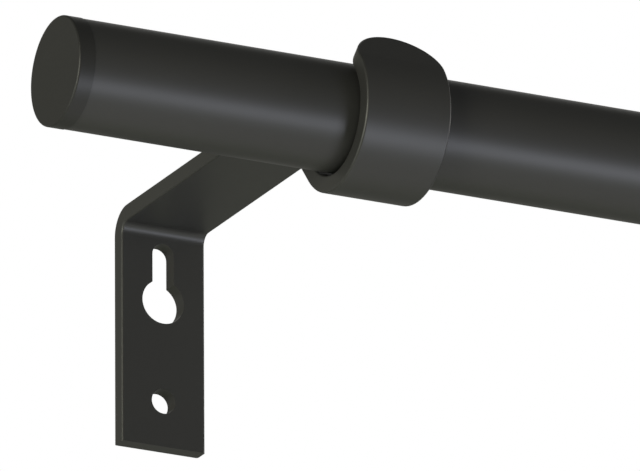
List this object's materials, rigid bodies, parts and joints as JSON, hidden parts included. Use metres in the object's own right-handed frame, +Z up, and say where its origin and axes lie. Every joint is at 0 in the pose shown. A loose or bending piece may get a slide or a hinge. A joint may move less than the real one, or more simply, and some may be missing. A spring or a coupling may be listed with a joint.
{
  "type": "curtain pole",
  "caption": "Slim round metal curtain pole with flat plugged ends, carried off the wall by bent strip brackets with rolled open cradles and keyhole fixing plates.",
  "frame": {"origin": "on the wall's face, midway between the round screw holes of the brackets", "axes": "+X along the pole towards its right end as seen from the room, +Y into the wall, +Z up"},
  "size_m": [0.706, 0.098, 0.0461],
  "materials": {
    "pole_coating": "satin dark grey powder coat on steel tube",
    "bracket_coating": "satin dark grey powder coat on steel strip",
    "plug_plastic": "smooth moulded dark grey plastic"
  },
  "bodies": {
    "root": {"pole_tube": "pole_coating", "end_cap_left": "plug_plastic", "end_cap_right": "plug_plastic", "bracket_left": "bracket_coating", "bracket_right": "bracket_coating"}
  },
  "joints": []
}
